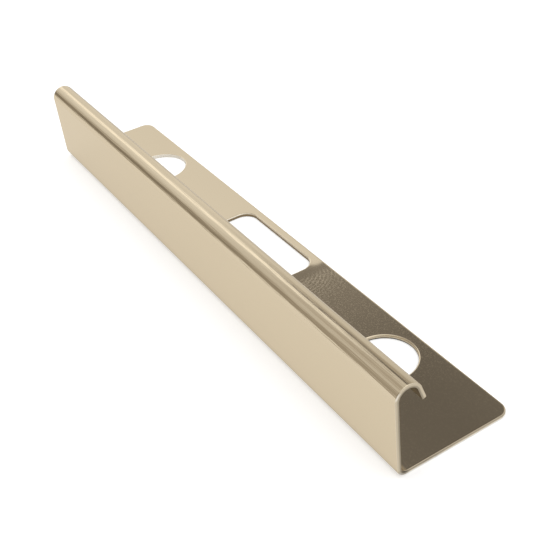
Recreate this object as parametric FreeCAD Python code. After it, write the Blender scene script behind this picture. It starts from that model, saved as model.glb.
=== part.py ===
import FreeCAD, Part
import math
import os

# Overall sizes of the trim, in millimetres.
trim_length = 150.0
trim_height = 20.2
flange_width = 25.8
sheet_thickness = 0.9

# Bends of the folded sheet.
foot_inner_radius = 1.3
hook_inner_radius = 2.0
hook_turn_past_crown = 71.5
lip_length = 3.0

# Outline and punched openings of the flange.
flange_corner_radius = 2.5
hole_diameter = 13.6
hole_distance_from_middle = 49.4
slot_length = 29.0
slot_width = 14.5
slot_corner_radius = 3.3
slot_to_free_edge = 2.1

# Rounding of the edges. The punches enter from above and draw the upper rims down.
rim_rollover_radius = 0.35
edge_break_radius = 0.2
largest_edge_radius = 0.45 * sheet_thickness
sharp_angle = math.radians(45.0)
point_tolerance = 1e-6


def section_point(across, height):
    """Point of the section, measured from the outer face of the wall."""
    return FreeCAD.Vector(0.0, across - 0.5 * flange_width, height)


def arc_point(centre_across, centre_height, radius, degrees):
    """Point of the section on a circle, with 90 degrees pointing straight up."""
    angle = math.radians(degrees)
    return section_point(
        centre_across + radius * math.cos(angle),
        centre_height + radius * math.sin(angle),
    )


def section_arc(centre_across, centre_height, radius, first, last):
    """Arc of the section between two directions given in degrees."""
    middle = 0.5 * (first + last)
    ends = [arc_point(centre_across, centre_height, radius, turn) for turn in (first, middle, last)]
    return Part.Arc(*ends).toShape()


def sheet_section():
    """Closed outline of the bent sheet: flange, foot bend, wall, curled hook and lip."""
    foot_outer_radius = foot_inner_radius + sheet_thickness
    hook_outer_radius = hook_inner_radius + sheet_thickness
    foot_centre = (foot_outer_radius, foot_outer_radius)
    hook_centre = (hook_outer_radius, trim_height - hook_outer_radius)
    hook_end = 90.0 - hook_turn_past_crown
    lip_run = FreeCAD.Vector(
        0.0,
        lip_length * math.cos(math.radians(hook_turn_past_crown)),
        -lip_length * math.sin(math.radians(hook_turn_past_crown)),
    )

    outer_hook_end = arc_point(*hook_centre, hook_outer_radius, hook_end)
    inner_hook_end = arc_point(*hook_centre, hook_inner_radius, hook_end)
    outer_lip_tip = outer_hook_end + lip_run
    inner_lip_tip = inner_hook_end + lip_run

    edges = [
        Part.makeLine(section_point(flange_width, 0.0), section_point(foot_outer_radius, 0.0)),
        section_arc(*foot_centre, foot_outer_radius, 270.0, 180.0),
        Part.makeLine(section_point(0.0, foot_outer_radius), section_point(0.0, hook_centre[1])),
        section_arc(*hook_centre, hook_outer_radius, 180.0, hook_end),
        Part.makeLine(outer_hook_end, outer_lip_tip),
        Part.makeLine(outer_lip_tip, inner_lip_tip),
        Part.makeLine(inner_lip_tip, inner_hook_end),
        section_arc(*hook_centre, hook_inner_radius, hook_end, 180.0),
        Part.makeLine(
            section_point(sheet_thickness, hook_centre[1]),
            section_point(sheet_thickness, foot_outer_radius),
        ),
        section_arc(*foot_centre, foot_inner_radius, 180.0, 270.0),
        Part.makeLine(
            section_point(foot_outer_radius, sheet_thickness),
            section_point(flange_width, sheet_thickness),
        ),
        Part.makeLine(section_point(flange_width, sheet_thickness), section_point(flange_width, 0.0)),
    ]
    return Part.Wire(edges)


def bent_sheet():
    """The section drawn out along the whole length, centred on the middle of the trim."""
    sheet = Part.Face(sheet_section()).extrude(FreeCAD.Vector(trim_length, 0.0, 0.0))
    sheet.translate(FreeCAD.Vector(-0.5 * trim_length, 0.0, 0.0))
    return sheet


def upright_edges_at(shape, spots):
    """Upright edges of a shape that stand at the given plan positions."""
    found = []
    for edge in shape.Edges:
        if len(edge.Vertexes) != 2:
            continue
        first, last = (vertex.Point for vertex in edge.Vertexes)
        is_upright = math.hypot(first.x - last.x, first.y - last.y) < point_tolerance
        if is_upright and any(math.hypot(first.x - x, first.y - y) < point_tolerance for x, y in spots):
            found.append(edge)
    return found


def round_flange_corners(sheet):
    """Both outer corners of the flange rounded off in plan."""
    outer_y = 0.5 * flange_width
    corners = [(side * 0.5 * trim_length, outer_y) for side in (-1.0, 1.0)]
    return sheet.makeFillet(flange_corner_radius, upright_edges_at(sheet, corners))


def hole_line_y():
    """Place of the line that the window and both round holes are centred on."""
    return 0.5 * flange_width - slot_to_free_edge - 0.5 * slot_width


def punch_depth():
    """Height of a punch that clears the sheet on both sides."""
    return 3.0 * sheet_thickness


def round_punch(x):
    """Punch for one round hole centred at the given place along the trim."""
    base = FreeCAD.Vector(x, hole_line_y(), -sheet_thickness)
    return Part.makeCylinder(0.5 * hole_diameter, punch_depth(), base)


def window_punch():
    """Punch for the long window with rounded corners in the middle of the trim."""
    y = hole_line_y()
    corner = FreeCAD.Vector(-0.5 * slot_length, y - 0.5 * slot_width, -sheet_thickness)
    block = Part.makeBox(slot_length, slot_width, punch_depth(), corner)
    spots = [
        (along * 0.5 * slot_length, y + across * 0.5 * slot_width)
        for along in (-1.0, 1.0)
        for across in (-1.0, 1.0)
    ]
    return block.makeFillet(slot_corner_radius, upright_edges_at(block, spots))


def flange_punches():
    """Round hole, window and round hole, in their order along the trim."""
    return [
        round_punch(-hole_distance_from_middle),
        window_punch(),
        round_punch(hole_distance_from_middle),
    ]


def edge_middle(edge):
    """Point half way along an edge."""
    return edge.valueAt(0.5 * (edge.FirstParameter + edge.LastParameter))


def round_upper_rims(sheet, punches):
    """Upper rims of the openings rolled over by the punches."""
    rims = []
    for edge in sheet.Edges:
        middle = edge_middle(edge)
        spot = Part.Vertex(middle)
        is_upper = abs(middle.z - sheet_thickness) < point_tolerance
        if is_upper and any(punch.distToShape(spot)[0] < point_tolerance for punch in punches):
            rims.append(edge)
    return sheet.makeFillet(min(rim_rollover_radius, largest_edge_radius), rims)


def is_sharp(shape, edge):
    """True where two faces meet at a corner rather than run smoothly into each other."""
    faces = shape.ancestorsOfType(edge, Part.Face)
    middle = edge_middle(edge)
    normals = [face.normalAt(*face.Surface.parameter(middle)) for face in faces]
    return len(normals) == 2 and normals[0].getAngle(normals[1]) > sharp_angle


def break_cut_edges(sheet):
    """Every edge that is still sharp with its burr taken off."""
    cut_edges = [edge for edge in sheet.Edges if is_sharp(sheet, edge)]
    return sheet.makeFillet(min(edge_break_radius, largest_edge_radius), cut_edges)


def make_edge_trim():
    """The whole trim as one punched and folded sheet."""
    punches = flange_punches()
    sheet = round_flange_corners(bent_sheet()).cut(punches)
    sheet = round_upper_rims(sheet, punches)
    return break_cut_edges(sheet)


os.makedirs("parts", exist_ok=True)
make_edge_trim().exportStep("parts/edge_trim.step")
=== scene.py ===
import math

import bpy
from mathutils import Matrix, Vector
from mathutils.geometry import delaunay_2d_cdt


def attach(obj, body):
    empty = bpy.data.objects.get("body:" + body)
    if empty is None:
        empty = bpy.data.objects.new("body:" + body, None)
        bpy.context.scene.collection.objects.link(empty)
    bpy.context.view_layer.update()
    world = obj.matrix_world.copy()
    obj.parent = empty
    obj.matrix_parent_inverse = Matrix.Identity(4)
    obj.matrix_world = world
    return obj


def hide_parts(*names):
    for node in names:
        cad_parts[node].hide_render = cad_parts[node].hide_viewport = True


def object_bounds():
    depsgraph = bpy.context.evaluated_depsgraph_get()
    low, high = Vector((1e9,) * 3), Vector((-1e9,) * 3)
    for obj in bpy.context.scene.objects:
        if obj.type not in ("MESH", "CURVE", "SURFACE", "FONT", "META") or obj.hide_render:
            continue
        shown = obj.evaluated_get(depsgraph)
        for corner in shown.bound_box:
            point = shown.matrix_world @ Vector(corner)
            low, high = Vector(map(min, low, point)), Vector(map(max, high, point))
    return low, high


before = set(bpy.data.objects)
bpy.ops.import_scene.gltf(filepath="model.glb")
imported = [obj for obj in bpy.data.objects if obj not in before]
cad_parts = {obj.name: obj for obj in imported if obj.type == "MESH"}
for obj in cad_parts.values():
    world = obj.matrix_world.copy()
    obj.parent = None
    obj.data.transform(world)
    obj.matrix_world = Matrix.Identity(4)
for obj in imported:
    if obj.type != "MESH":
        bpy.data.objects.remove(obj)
cadLow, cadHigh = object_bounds()
mm = 0.001
print("frame loaded")

trimSizes = {                  # millimetres and degrees
    "length": 150.0,
    "height": cadHigh[2] / mm,
    "flangeWidth": 25.8,
    "sheet": 0.9,
    "footInnerRadius": 1.3,
    "hookInnerRadius": 2.0,
    "hookTurn": 71.5,          # past the crown
    "lipLength": 3.0,
    "flangeCorner": 2.5,
    "lipCorner": 0.4,
    "holeRadius": 6.8,
    "holeFromMiddle": 49.4,
    "windowLength": 29.0,
    "windowWidth": 14.5,
    "windowCorner": 3.3,
    "windowToEdge": 2.1,
    "rimRollover": 0.35,       # the punch draws the upper rims down
    "freeRollover": 0.5,       # upper rounding of the flange's free edge
    "lipRollover": 0.25,
    "endRollover": 0.12,       # upper rounding of the sawn ends
    "edgeBreak": 0.2,          # lower rounding of every cut edge

    # how finely the mesh is divided
    "columnStep": 5.0,         # between the columns along the trim
    "plainEnds": 5.0,          # from each end to the first column
    "bendStep": 1.5,           # degrees between the rows in a bend
    "roundSteps": 5,           # rows over each rounded edge
    "flangeSteps": 7,
    "straightSteps": 4,        # over the wall, and over the lip
    "flangeCornerSteps": 16,
    "lipCornerSteps": 4,
    "holeSteps": 112,
    "windowCornerSteps": 22,
    "rimMargin": 1.0,          # kept free of inner points round each opening
    "mergeWithin": 1e-7,
}


def outerRadii(size):
    return size["footInnerRadius"] + size["sheet"], size["hookInnerRadius"] + size["sheet"]


# The trim is made as a flat blank and folded: s runs over the blank from the flange's free edge
# to the lip's tip, depth 0 is the face that ends up outside and depth "sheet" the one inside.
def foldRuns(size):
    half = 0.5 * size["sheet"]
    footOuter, hookOuter = outerRadii(size)
    return {
        "flange": size["flangeWidth"] - footOuter,
        "foot": 0.5 * math.pi * (footOuter - half),
        "wall": size["height"] - footOuter - hookOuter,
        "hook": math.radians(90.0 + size["hookTurn"]) * (hookOuter - half),
        "lip": size["lipLength"],
    }


def bendPoint(centre, outerRadius, turn, depth, straight=0.0):
    # a point on a bend, or on the straight run that leaves it
    out = (math.cos(turn), math.sin(turn))
    ahead = (out[1], -out[0])
    reach = outerRadius - depth
    place = tuple(centre[axis] + reach * out[axis] + straight * ahead[axis] for axis in (0, 1))
    return place, ahead, (-out[0], -out[1])


def foldPoint(size, s, depth):
    # place in the section (y, z) and two directions: along s, and out of the inner face
    half = 0.5 * size["sheet"]
    footOuter, hookOuter = outerRadii(size)
    toFree = 0.5 * size["flangeWidth"]
    run = foldRuns(size)
    if s <= run["flange"]:
        return (toFree - s, depth), (-1.0, 0.0), (0.0, 1.0)
    s -= run["flange"]
    if s <= run["foot"]:
        turn = 1.5 * math.pi - s / (footOuter - half)
        return bendPoint((footOuter - toFree, footOuter), footOuter, turn, depth)
    s -= run["foot"]
    if s <= run["wall"]:
        return (depth - toFree, footOuter + s), (0.0, 1.0), (1.0, 0.0)
    s -= run["wall"]
    onHook = min(s, run["hook"])
    turn = math.pi - onHook / (hookOuter - half)
    centre = (hookOuter - toFree, size["height"] - hookOuter)
    return bendPoint(centre, hookOuter, turn, depth, s - onHook)


def flangeRows(size):
    count = size["flangeSteps"]
    return [foldRuns(size)["flange"] * i / count for i in range(1, count)]


def foldRows(size):
    # values of s at which the mesh has a row, from the foot bend to the tip
    bendTurns = {"foot": 90.0, "hook": 90.0 + size["hookTurn"]}
    rows, start = [], 0.0
    for name, length in foldRuns(size).items():
        if name in bendTurns:
            count = math.ceil(bendTurns[name] / size["bendStep"])
            rows += [start + length * i / count for i in range(count + 1)]
        elif name != "flange":
            count = size["straightSteps"]
            rows += [start + length * i / count for i in range(1, count)]
        start += length
    return rows


def meshColumns(size):
    inner = size["length"] - 2 * size["plainEnds"]
    count = round(inner / size["columnStep"])
    return [inner * i / count - 0.5 * inner for i in range(count + 1)]


def cornerPoints(centre, radius, first, last, count):
    # part of an outline, as ((x, s), (outward x, outward s)) pairs
    made = []
    for i in range(count + 1):
        turn = math.radians(first + (last - first) * i / count)
        out = (math.cos(turn), math.sin(turn))
        made.append(((centre[0] + radius * out[0], centre[1] + radius * out[1]), out))
    return made


def blankOutline(size, rows, columns):
    # the outline from the near corner of the flange, and where in it each row has its two ends
    half = 0.5 * size["length"]
    reach = sum(foldRuns(size).values())
    big, bigSteps = size["flangeCorner"], size["flangeCornerSteps"]
    small, smallSteps = size["lipCorner"], size["lipCornerSteps"]
    side = [s for s in rows if big < s < reach - small]
    outline = cornerPoints((half - big, big), big, -90, 0, bigSteps)
    nearFirst = len(outline)
    outline += [((half, s), (1.0, 0.0)) for s in side]
    outline += cornerPoints((half - small, reach - small), small, 0, 90, smallSteps)
    outline += [((x, reach), (0.0, 1.0)) for x in reversed(columns)]
    outline += cornerPoints((small - half, reach - small), small, 90, 180, smallSteps)
    outline += [((-half, s), (-1.0, 0.0)) for s in reversed(side)]
    farLast = len(outline) - 1
    outline += cornerPoints((big - half, big), big, 180, 270, bigSteps)
    outline += [((x, 0.0), (0.0, -1.0)) for x in columns]
    return outline, {s: (farLast - i, nearFirst + i) for i, s in enumerate(side)}


def openingOutlines(size):
    middle = size["windowToEdge"] + 0.5 * size["windowWidth"]      # the line that all three lie on
    outlines = {}
    for wall, side in (("farHole", -1), ("nearHole", 1)):
        centre = (side * size["holeFromMiddle"], middle)
        outlines[wall] = cornerPoints(centre, size["holeRadius"], 0, 360, size["holeSteps"])[:-1]
    radius, steps = size["windowCorner"], size["windowCornerSteps"]
    reachX = 0.5 * size["windowLength"] - radius
    reachS = 0.5 * size["windowWidth"] - radius
    window = []
    for quarter, (signX, signS) in enumerate(((1, 1), (-1, 1), (-1, -1), (1, -1))):
        centre = (signX * reachX, middle + signS * reachS)
        window += cornerPoints(centre, radius, 90 * quarter, 90 * quarter + 90, steps)
    outlines["window"] = window
    # out of the sheet is towards the middle of an opening
    return {wall: [(place, (-out[0], -out[1])) for place, out in ring] for wall, ring in outlines.items()}


def isInside(point, ring):
    inside = False
    for (ax, ay), (bx, by) in zip(ring, ring[1:] + ring[:1]):
        if (ay > point[1]) != (by > point[1]):
            if point[0] < (bx - ax) * (point[1] - ay) / (by - ay) + ax:
                inside = not inside
    return inside


def isClear(point, rings, margin):
    return all(
        min(math.dist(point, place) for place in ring) > margin and not isInside(point, ring)
        for ring in rings
    )


def insetPlace(entry, inset):
    (x, s), (outX, outS) = entry
    return (x - outX * inset, s - outS * inset)


def upperRadius(size, entry, wall):
    if wall != "outline":
        return size["rimRollover"]
    outS = entry[1][1]                     # -1 on the free edge, 1 on the lip's, 0 at the ends
    longEdge = size["freeRollover"] if outS < 0 else size["lipRollover"]
    return size["endRollover"] + (longEdge - size["endRollover"]) * outS ** 2


def cutBlank(size):
    # the upper face's points and triangles, its loops, and the number of each loop's first point
    rows, columns = foldRows(size), meshColumns(size)
    outline, rowEnds = blankOutline(size, flangeRows(size) + rows, columns)
    loops = {"outline": outline, **openingOutlines(size)}
    places, lines, firsts, rings = [], [], {}, []
    for wall, loop in loops.items():
        first, count = len(places), len(loop)
        firsts[wall] = first
        rings.append([insetPlace(entry, upperRadius(size, entry, wall)) for entry in loop])
        places += rings[-1]
        lines += [(first + i, first + (i + 1) % count) for i in range(count)]
    for s in rows:
        if s in rowEnds:
            farEnd, nearEnd = rowEnds[s]
            chain = [farEnd, *range(len(places), len(places) + len(columns)), nearEnd]
            places += [(x, s) for x in columns]
            lines += zip(chain, chain[1:])
    for s in flangeRows(size):
        places += [(x, s) for x in columns if isClear((x, s), rings[1:], size["rimMargin"])]

    # triangles fill the whole hull at first, and only those in the sheet are kept
    flat = [Vector(place) for place in places]
    points, _, hull, origins, _, _ = delaunay_2d_cdt(flat, lines, [], 0, size["mergeWithin"])
    if len(points) != len(places):
        raise RuntimeError(f"the blank's triangles use {len(points)} points and not {len(places)}")
    triangles = []
    for corners in hull:
        ids = [origins[i][0] for i in corners]
        middle = [sum(places[i][axis] for i in ids) / len(ids) for axis in (0, 1)]
        if isInside(middle, rings[0]) and not any(isInside(middle, ring) for ring in rings[1:]):
            triangles.append(ids)
    return places, triangles, loops, firsts


class FoldedSheet:
    def __init__(self, size):
        self.size = size
        self.places, self.normals, self.faces = [], [], []
        # what the material needs to know of each point
        names = ("sheetDepth", "cutEdge", "endFace", "farHole", "nearHole", "window")
        self.marks = {name: [] for name in names}

    def addPoint(self, place, depth, normal, marks=None):
        # place and normal are given on the flat blank, the normal along x, along s and upwards
        (y, z), ahead, up = foldPoint(self.size, place[1], depth)
        turned = [normal[1] * ahead[axis] + normal[2] * up[axis] for axis in (0, 1)]
        self.places.append((place[0] * mm, y * mm, z * mm))
        self.normals.append(Vector((normal[0], *turned)).normalized())
        known = {"sheetDepth": depth / self.size["sheet"], **(marks or {})}
        for name, values in self.marks.items():
            values.append(known.get(name, 0.0))
        return len(self.places) - 1

    def stitch(self, first, second, wall):
        # every loop runs the same way round, so a band round an opening faces the other way
        if wall != "outline":
            first, second = second, first
        for i in range(len(first)):
            j = (i + 1) % len(first)
            self.faces.append([first[i], first[j], second[j], second[i]])

    def addWall(self, loop, wall, upperFirst, lowerFirst):
        # a cut wall: its upper rounding, the flat of the cut and its lower rounding
        size, steps = self.size, self.size["roundSteps"]
        turns = [0.5 * math.pi * i / steps for i in range(steps + 1)]
        leans = [(math.sin(turn), math.cos(turn)) for turn in turns[1:]]
        leans += [(math.cos(turn), -math.sin(turn)) for turn in turns[:-1]]
        previous = range(upperFirst, upperFirst + len(loop))
        for number, (out, up) in enumerate(leans):
            current = []
            for entry in loop:
                outX, outS = entry[1]
                if number < steps:
                    radius = upperRadius(size, entry, wall)
                    depth = size["sheet"] - radius * (1 - up)
                else:
                    radius = size["edgeBreak"]
                    depth = radius * (1 + up)
                place = insetPlace(entry, radius * (1 - out))
                marks = {"cutEdge": out, "endFace": abs(outX)}
                if wall != "outline":
                    marks = {"cutEdge": out, wall: 1.0}
                current.append(self.addPoint(place, depth, (outX * out, outS * out, up), marks))
            self.stitch(previous, current, wall)
            previous = current
        self.stitch(previous, range(lowerFirst, lowerFirst + len(loop)), wall)

    def makeObject(self, name):
        mesh = bpy.data.meshes.new(name)
        mesh.from_pydata(self.places, [], self.faces)
        mesh.update()
        for polygon in mesh.polygons:
            polygon.use_smooth = True
        mesh.normals_split_custom_set_from_vertices(self.normals)
        for mark, values in self.marks.items():
            mesh.attributes.new(mark, "FLOAT", "POINT").data.foreach_set("value", values)
        made = bpy.data.objects.new(name, mesh)
        bpy.context.collection.objects.link(made)
        return made


def makeSheet(size, name):
    places, triangles, loops, firsts = cutBlank(size)
    under = list(places)
    for wall, loop in loops.items():
        for i, entry in enumerate(loop, firsts[wall]):
            under[i] = insetPlace(entry, size["edgeBreak"])
    sheet = FoldedSheet(size)
    for place in places:
        sheet.addPoint(place, size["sheet"], (0, 0, 1))
    for place in under:
        sheet.addPoint(place, 0.0, (0, 0, -1))
    total = len(places)
    for ids in triangles:
        a, b, c = (Vector(places[i]) for i in ids[:3])
        # s runs against y on the flange, so the turn is the other way round
        upper = ids[::-1] if (b - a).cross(c - a) > 0 else ids
        sheet.faces.append(upper)
        sheet.faces.append([total + i for i in reversed(upper)])
    for wall, loop in loops.items():
        sheet.addWall(loop, wall, firsts[wall], total + firsts[wall])
    return sheet.makeObject(name)


# shader sockets that can be written as sums and products
class Socket:
    def __init__(self, shade, out):
        self.shade, self.out = shade, out

    def combine(self, operation, other, flipped=False):
        pair = (other, self) if flipped else (self, other)
        return self.shade.node("ShaderNodeMath", {"operation": operation}, {0: pair[0], 1: pair[1]})

    def __add__(self, other):
        return self.combine("ADD", other)

    def __radd__(self, other):
        return self.combine("ADD", other, True)

    def __sub__(self, other):
        return self.combine("SUBTRACT", other)

    def __rsub__(self, other):
        return self.combine("SUBTRACT", other, True)

    def __mul__(self, other):
        return self.combine("MULTIPLY", other)

    def __rmul__(self, other):
        return self.combine("MULTIPLY", other, True)


def drawCurve(mapping, places):
    curve = mapping.curves[0]
    while len(curve.points) < len(places):
        curve.points.new(0.5, 0.5)
    for point, place in zip(curve.points, places):
        point.location = place
        point.handle_type = "AUTO_CLAMPED"
    mapping.update()


class Shade:
    def __init__(self, tree):
        self.tree = tree
        tree.nodes.clear()

    def node(self, kind, settings=None, sockets=None, out=0):
        made = self.tree.nodes.new(kind)
        for name, value in (settings or {}).items():
            if name == "curve":
                drawCurve(made.mapping, value)
            else:
                setattr(made, name, value)
        for key, value in (sockets or {}).items():
            if isinstance(value, Socket):
                self.tree.links.new(value.out, made.inputs[key])
            else:
                made.inputs[key].default_value = value
        return Socket(self, made.outputs[out]) if made.outputs else None

    def axes(self, vector):
        split = self.node("ShaderNodeSeparateXYZ", None, {0: vector}).out.node
        return [Socket(self, out) for out in split.outputs]

    def profile(self, value, stops):
        # height of a smooth line through (place, height) pairs
        low, span = stops[0][0], stops[-1][0] - stops[0][0]
        top = max(height for _, height in stops)
        curve = [((place - low) / span, height / top) for place, height in stops]
        share = (value - low) * (1 / span)
        return self.node("ShaderNodeFloatCurve", {"curve": curve}, {"Value": share}) * top

    def rise(self, value, low, high):
        # 0 up to low, 1 from high on
        return self.node(
            "ShaderNodeMapRange", {"interpolation_type": "SMOOTHSTEP"},
            {"Value": value, "From Min": low, "From Max": high},
        )

    def fall(self, value, low, high):
        return 1 - self.rise(value, low, high)

    def noise(self, place, scale):
        return self.node("ShaderNodeTexNoise", None, {"Vector": place, "Scale": scale, "Detail": 2.0})

    def mark(self, name):
        return self.node("ShaderNodeAttribute", {"attribute_name": name}, out=2)       # as a number

    def mix(self, factor, first, second):
        return self.node("ShaderNodeMix", {"data_type": "RGBA"}, {0: factor, 6: first, 7: second}, 2)


rubMarks = {                   # on the near half of the flange, in metres
    "mottleScale": 2400.0,
    "mottleRange": (0.34, 0.71),           # of the noise that draws it
    "mottleShare": 0.55,
    "ringCentre": (0.0150, 0.0040, 0.0009),
    "ringSpacing": 0.00085,                # between the ring-shaped rubs beside the window
    "ringFade": (0.0064, 0.016),           # from their centre
    "ringWidth": (-0.4, 1.0),              # of the wave that draws them
    "ringWander": 8.0,
    "ringShare": 0.38,
    "clearStrip": (0.0162, 0.0195),        # along, the strip at the window's end has no rubs
    "pastWindow": (0.014, 0.036),          # along
    "lessAtWindow": 0.4,
    "nearEnd": (0.050, 0.064),             # along
    "lessAtEnd": 0.35,
}


def rubbed(shade, look, place, cloud):
    along = shade.axes(place)[0]
    mottle = shade.rise(shade.noise(place, look["mottleScale"]), *look["mottleRange"])
    away = shade.node(
        "ShaderNodeVectorMath", {"operation": "DISTANCE"}, {0: place, 1: look["ringCentre"]}, "Value",
    )
    turns = away * (2 * math.pi / look["ringSpacing"]) + cloud * look["ringWander"]
    wave = shade.node("ShaderNodeMath", {"operation": "SINE"}, {0: turns})
    rings = shade.rise(wave, *look["ringWidth"]) * shade.fall(away, *look["ringFade"])
    strength = (
        shade.rise(along, *look["clearStrip"])
        * (1 - look["lessAtWindow"] * shade.fall(along, *look["pastWindow"]))
        * (1 - look["lessAtEnd"] * shade.rise(along, *look["nearEnd"]))
    )
    return (look["mottleShare"] * mottle + look["ringShare"] * rings) * strength


cutWalls = {                   # places in metres, depths as shares of the sheet
    "sheared": (0.62, 0.53, 0.39, 1),
    "sawn": (0.70, 0.61, 0.46, 1),         # the two end faces
    "bright": (0.97, 0.92, 0.82, 1),       # painted highlight on the far hole, the window's top and spots on the ends
    "tornAndShaded": (0.05, 0.042, 0.033, 1),       # painted shade: lower part of the near hole, over the punch's torn band, and shaded spots on the ends
    "tornAndShadedWindow": (0.27, 0.20, 0.115, 1),  # the same round the window, where it is lighter
    "tornAndShadedTop": 0.36,
    "windowTornAndShadedTop": 0.74,
    "tornAndShadedBlur": 0.05,
    "windowBrightness": 0.6,               # share of the painted highlight on the window's wall, beside the far hole's
    "endShadeInside": 0.45,                   # painted shade on the ends, towards the inner face
    "endShadeDepth": (0.4, 0.8),
    "endShadeInFoot": 0.5,                      # painted shade on the ends, in the foot bend
    "footUp": (0.0008, 0.0020),
    "footAcross": (-0.0116, -0.0100),
    "endHighlightDepth": (0.3, 0.55),         # painted highlight on the lower half of the flange's end
    "shoulderHighlight": 0.7,                 # painted highlight on the ends where the curl leaves the wall
    "shoulderDepth": (0.3, 0.6),
    "shoulderFrom": (0.0178, 0.0184),      # up
    "shoulderTo": (0.0190, 0.0195),        # up
    "shoulderAcross": (-0.0120, -0.0112),
}


def cutMetal(shade, look, place, depth, onFlange):
    # colour of the cut walls, with painted highlights and painted shade on them, and how far they scatter
    # the light instead of mirroring it under the painted highlight
    _, across, upward = shade.axes(place)
    names = ("endFace", "farHole", "nearHole", "window")
    endFace, farHole, nearHole, window = (shade.mark(name) for name in names)
    tornAndShadedTop = look["tornAndShadedTop"] + (look["windowTornAndShadedTop"] - look["tornAndShadedTop"]) * window
    # painted shade over the torn lower band of the near hole's and the window's walls
    tornAndShaded = (nearHole + window) * shade.fall(depth - tornAndShadedTop, -look["tornAndShadedBlur"], look["tornAndShadedBlur"])
    # painted highlight on the far hole's wall and, fainter, on the window's
    bright = farHole + look["windowBrightness"] * window
    # painted shade on the end faces, towards the inner face and in the foot bend
    inFoot = shade.fall(upward, *look["footUp"]) * shade.fall(across, *look["footAcross"])
    inside = shade.rise(depth, *look["endShadeDepth"])
    endShade = endFace * (look["endShadeInside"] * inside + look["endShadeInFoot"] * inFoot)
    # painted highlights on the ends: the lower half of the flange's end and a spot where the curl leaves
    # the wall
    endHighlight = endFace * shade.fall(depth, *look["endHighlightDepth"]) * onFlange
    shoulder = (
        look["shoulderHighlight"] * endFace * shade.fall(depth, *look["shoulderDepth"])
        * shade.rise(upward, *look["shoulderFrom"]) * shade.fall(upward, *look["shoulderTo"])
        * shade.fall(across, *look["shoulderAcross"])
    )
    colour = shade.mix(bright, look["sheared"], look["bright"])
    colour = shade.mix(endFace, colour, look["sawn"])
    colour = shade.mix(endHighlight + shoulder, colour, look["bright"])
    colour = shade.mix(tornAndShaded + endShade, colour, shade.mix(window, look["tornAndShaded"], look["tornAndShadedWindow"]))
    return colour, bright * (1 - tornAndShaded)


trimFinish = {                 # places in metres
    "metal": (0.70, 0.595, 0.43, 1),
    "edgeOn": (0.91, 0.865, 0.79, 1),      # keeps the metal's colour where it is seen edge on
    "paintedCurlShade": (0.20, 0.17, 0.13, 1),   # painted shade inside the curl
    "roughness": 0.03,
    "cloudRoughness": 0.01,
    "cloudScale": 90.0,
    "rubRoughness": 0.25,                  # fine rub marks of the finishing
    "curlRoughness": 0.10,                 # more of it where the sheet was stretched
    "insideRoughness": 0.25,
    "cutRoughness": 0.25,
    "cutFrom": (0.3, 0.8),                 # how far an edge has turned over where it looks cut
    "highlightMatteness": 0.85,                   # metallic taken off where the painted highlight lies on the cut walls
    "speckRoughness": 0.25,
    "speckScale": 120.0,
    "speckSize": (0.008, 0.018),           # as a share of their cells
    "streakDepth": 0.00004,                # fine streaks of the rolls along the curl
    "streakScale": 3200.0,
    "streakStretch": (0.03, 1.0, 1.0),
    "flangeTop": (0.0010, 0.0016),         # up
    "curlFrom": (0.0166, 0.0178),          # up
    "insideFrom": (0.0132, 0.0140),        # up
    "insideAcross": (-0.0119, -0.0110),
    "insideDepth": (0.8, 1.0),             # as a share of the sheet
}


def trimMetal(look, rubs, walls):
    material = bpy.data.materials.new("champagneSheet")
    material.use_nodes = True
    shade = Shade(material.node_tree)
    place = shade.node("ShaderNodeTexCoord", out="Object")
    _, across, upward = shade.axes(place)
    depth = shade.mark("sheetDepth")
    onFlange = shade.fall(upward, *look["flangeTop"])
    onCurl = shade.rise(upward, *look["curlFrom"])
    inCurl = (
        shade.rise(depth, *look["insideDepth"]) * shade.rise(upward, *look["insideFrom"])
        * shade.rise(across, *look["insideAcross"])
    )
    cut = shade.rise(shade.mark("cutEdge"), *look["cutFrom"])
    cutColour, matteHighlight = cutMetal(shade, walls, place, depth, onFlange)
    # painted shade darkens the inside of the curl
    colour = shade.mix(cut, shade.mix(inCurl, look["metal"], look["paintedCurlShade"]), cutColour)
    metallic = 1 - look["highlightMatteness"] * matteHighlight * cut

    cloud = shade.noise(place, look["cloudScale"])
    rub = rubbed(shade, rubs, place, cloud) * onFlange
    cell = shade.node("ShaderNodeTexVoronoi", None, {"Vector": place, "Scale": look["speckScale"]})
    speck = shade.fall(cell, *look["speckSize"])
    rough = (
        look["roughness"] + look["cloudRoughness"] * (cloud - 0.5) + look["rubRoughness"] * rub
        + look["curlRoughness"] * onCurl + look["speckRoughness"] * speck + look["cutRoughness"] * cut
        + look["insideRoughness"] * inCurl
    )
    along = shade.node(
        "ShaderNodeVectorMath", {"operation": "MULTIPLY"}, {0: place, 1: look["streakStretch"]},
    )
    streak = shade.noise(along, look["streakScale"]) * onCurl * look["streakDepth"]
    bump = shade.node("ShaderNodeBump", None, {"Strength": 1.0, "Distance": 1.0, "Height": streak})
    surface = shade.node(
        "ShaderNodeBsdfPrincipled", None,
        {
            "Base Color": colour, "Metallic": metallic, "Roughness": rough, "Normal": bump,
            "Specular Tint": look["edgeOn"],
        },
    )
    shade.node("ShaderNodeOutputMaterial", None, {"Surface": surface})
    return material


trim = makeSheet(trimSizes, "trimSheet")
trim.data.materials.append(trimMetal(trimFinish, rubMarks, cutWalls))
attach(trim, "root")
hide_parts("edge_trim")
print("trim made", len(trim.data.polygons), "faces")

cameraLook = {
    "place": (165.4055, -78.8214, 126.1130),       # millimetres
    "right": (0.530217, 0.842073, -0.098911),
    "up": (-0.460510, 0.383969, 0.800311),
    "back": (0.711899, -0.378789, 0.591370),
    "lens": 61.8333,
    "sensorWidth": 36.0,
    "clipStart": 0.005,        # metres
    "clipEnd": 20.0,
}


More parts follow.
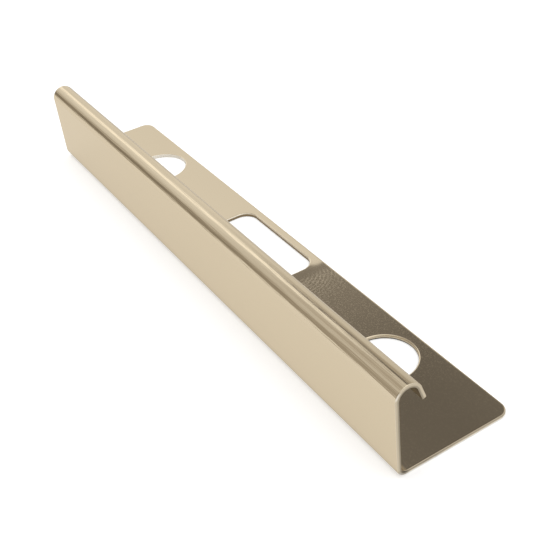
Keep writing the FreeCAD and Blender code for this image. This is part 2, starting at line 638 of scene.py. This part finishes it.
def addCamera(look):
    data = bpy.data.cameras.new("camera")
    data.lens = look["lens"]
    data.sensor_width = look["sensorWidth"]
    data.clip_start, data.clip_end = look["clipStart"], look["clipEnd"]
    camera = bpy.data.objects.new("camera", data)
    axes = Matrix((look["right"], look["up"], look["back"])).transposed()
    camera.matrix_world = Matrix.Translation(Vector(look["place"]) * mm) @ axes.to_4x4()
    bpy.context.collection.objects.link(camera)
    bpy.context.scene.camera = camera


floorLook = {                  # metres
    "size": 6.0,
    "height": -0.00002,
    "paper": (0.78, 0.78, 0.78, 1),
    "lift": 0.42,              # light added to the floor as the camera sees it
    "liftBehind": 0.08,        # the same as the metal mirrors it, behind the trim
    "inMetal": 1.08,           # the floor before the trim as the metal mirrors it
    "farInMetal": 0.71,        # the same well behind the flange and beyond the far end
    "evenness": 0.65,          # how little of its shading the metal mirrors
    "footShading": 0.4,        # share of that evenness lost along the foot
    "beyondEndShare": 0.4,     # share of it kept beyond the far end
    "underTrim": (-0.012, 0.0),            # across, from the floor before the wall to that behind it
    "behindFlange": (0.018, 0.024),        # across
    "farEnd": (-0.080, -0.075),            # along
    "foot": (-0.0148, -0.0131),            # across
}


def addFloor(look):
    half = 0.5 * look["size"]
    corners = [(-half, -half, 0), (half, -half, 0), (half, half, 0), (-half, half, 0)]
    mesh = bpy.data.meshes.new("floor")
    mesh.from_pydata(corners, [], [(0, 1, 2, 3)])
    floor = bpy.data.objects.new("floor", mesh)
    floor.location.z = look["height"]
    bpy.context.collection.objects.link(floor)
    material = bpy.data.materials.new("paleFloor")
    material.use_nodes = True
    shade = Shade(material.node_tree)
    along, across, _ = shade.axes(shade.node("ShaderNodeTexCoord", out="Object"))
    toCamera = shade.node("ShaderNodeLightPath", out="Is Camera Ray")
    toMetal = shade.node("ShaderNodeLightPath", out="Is Glossy Ray")
    inFront = shade.fall(across, *look["underTrim"])
    lift = toCamera * look["lift"] + toMetal * (1 - inFront) * look["liftBehind"]
    glow = shade.node("ShaderNodeEmission", None, {"Color": lift, "Strength": 1.0})
    paper = shade.node("ShaderNodeBsdfDiffuse", None, {"Color": look["paper"]})
    plain = shade.node("ShaderNodeAddShader", None, {0: paper, 1: glow})

    behind = shade.rise(across, *look["behindFlange"])
    beyondEnd = shade.fall(along, *look["farEnd"])
    apart = (1 - inFront) * (behind + look["beyondEndShare"] * (1 - behind) * beyondEnd)
    mirrored = inFront * look["inMetal"] + apart * look["farInMetal"]
    even = shade.node("ShaderNodeEmission", None, {"Color": mirrored, "Strength": 1.0})
    atFoot = shade.rise(across, *look["foot"])
    evenShare = toMetal * (inFront * (1 - look["footShading"] * atFoot) + apart) * look["evenness"]
    surface = shade.node("ShaderNodeMixShader", None, {0: evenShare, 1: plain, 2: even})
    shade.node("ShaderNodeOutputMaterial", None, {"Surface": surface})
    mesh.materials.append(material)


roomLook = {
    # brightness by the turn round the trim's length, in degrees from the horizon before the wall,
    # over the top, to the horizon behind the flange
    "bright": [(0, 0.60), (8, 0.42), (22, 0.26), (36, 0.42), (50, 0.72), (70, 0.88), (88, 0.97),
               (96, 1.20), (104, 1.38), (112, 1.22), (117, 1.10), (121, 0.965), (140, 0.90),
               (160, 0.93), (180, 0.97)],
    "dim": [(0, 0.56), (8, 0.46), (22, 0.42), (36, 0.57), (50, 0.70), (60, 0.65), (70, 0.50),
            (88, 0.58), (103, 0.77), (112, 0.55), (118, 0.48), (123, 0.45), (127, 0.495), (134, 0.45),
            (144, 0.55), (155, 0.75), (180, 0.82)],
    # how far the dim part is darkened further, by the same turns
    "deep": [(0, 0.0), (114, 0.0), (118, 1.0), (127, 1.0), (130, 0.0), (180, 0.0)],

    # the room is bright towards the far end, dim from and to these x of the direction, then bright
    "dimFrom": (-0.80, -0.63),
    "dimFromInHighlight": (-0.73, -0.60),
    "deepFrom": (-0.7045, -0.7033),        # the crisp border across the flange
    "dimTo": (-0.42, -0.20),
    "highlightStart": (92.0, 97.0),        # turns of the highlight along the curl
    "highlightEnd": (109.0, 117.0),
    "borderTurn": 125.0,       # the crisp border leans, and has a step, about this turn
    "borderLean": 0.0042,
    "borderLeanReach": 5.0,
    "borderStep": 0.003,
    "borderStepTurns": 0.7,
    "deepShare": 0.58,         # of the dim part's brightness, left in the deep part
    "deepestShare": 0.37,      # the same further towards the near end
    "deepestFrom": (-0.69, -0.58),
    "cornerDimming": 0.6,      # as the flange's near corner mirrors it
    "cornerTurns": (127.0, 140.0),
    "cornerFrom": (-0.59, -0.53),

    "white": (1, 1, 1, 1),
    "dimTint": (1.10, 1.0, 0.86, 1),       # the dim parts of the room are warmer
    "deepTint": (1.05, 0.997, 0.968, 1),
    "tintTo": (0.15, 0.95),    # brightness over which the tint goes over to white
}


def lightRoom(look):
    world = bpy.data.worlds.new("room")
    bpy.context.scene.world = world
    world.use_nodes = True
    shade = Shade(world.node_tree)
    along, across, upward = shade.axes(shade.node("ShaderNodeTexCoord", out="Generated"))
    overFloor = shade.node("ShaderNodeMath", {"operation": "MAXIMUM"}, {0: upward, 1: 0.0})
    radians = shade.node("ShaderNodeMath", {"operation": "ARCTAN2"}, {0: overFloor, 1: 0 - across})
    turn = radians * (180 / math.pi)
    bright, dim, deep = (shade.profile(turn, look[name]) for name in ("bright", "dim", "deep"))

    fromBorder, reach = turn - look["borderTurn"], look["borderLeanReach"]
    lean = shade.node("ShaderNodeClamp", None, {"Value": fromBorder, "Min": -reach, "Max": reach})
    step = shade.rise(turn, look["borderTurn"], look["borderTurn"] + look["borderStepTurns"])
    border = along - look["borderLean"] * lean - look["borderStep"] * step
    crisp = shade.rise(border, *look["deepFrom"])
    soft = shade.rise(along, *look["dimFrom"])
    inHighlight = shade.rise(turn, *look["highlightStart"]) * shade.fall(turn, *look["highlightEnd"])
    soft = soft + inHighlight * (shade.rise(along, *look["dimFromInHighlight"]) - soft)
    inDim = (soft + deep * (crisp - soft)) * shade.fall(along, *look["dimTo"])

    lost = look["deepShare"] - look["deepestShare"]
    left = look["deepShare"] - lost * shade.rise(along, *look["deepestFrom"])
    corner = inDim * shade.rise(turn, *look["cornerTurns"]) * shade.rise(along, *look["cornerFrom"])
    glow = bright + inDim * (dim * (1 + deep * (left - 1)) - bright)
    glow = glow * (1 - look["cornerDimming"] * corner)
    toCamera = shade.node("ShaderNodeLightPath", out="Is Camera Ray")
    strength = shade.node("ShaderNodeMix", {"data_type": "FLOAT"}, {0: toCamera, 2: glow, 3: 1.0})
    tint = shade.mix(deep, look["dimTint"], look["deepTint"])
    tint = shade.mix(shade.rise(strength, *look["tintTo"]), tint, look["white"])
    surface = shade.node("ShaderNodeBackground", None, {"Color": tint, "Strength": strength})
    shade.node("ShaderNodeOutputWorld", None, {"Surface": surface})


softKey = {"place": (-0.2, -0.2, 1.1), "aim": (0, 0, 0), "size": 0.8, "power": 3.0}     # metres, watts


def addLamp(name, look):
    data = bpy.data.lights.new(name, "AREA")
    data.size, data.energy = look["size"], look["power"]
    lamp = bpy.data.objects.new(name, data)
    lamp.location = look["place"]
    aim = Vector(look["aim"]) - Vector(look["place"])
    lamp.rotation_euler = aim.to_track_quat("-Z", "Y").to_euler()
    lamp.visible_glossy = False
    bpy.context.collection.objects.link(lamp)


addCamera(cameraLook)
addFloor(floorLook)
lightRoom(roomLook)
addLamp("softKey", softKey)
bpy.context.scene.view_settings.view_transform = "Standard"
print("camera, floor and light made")
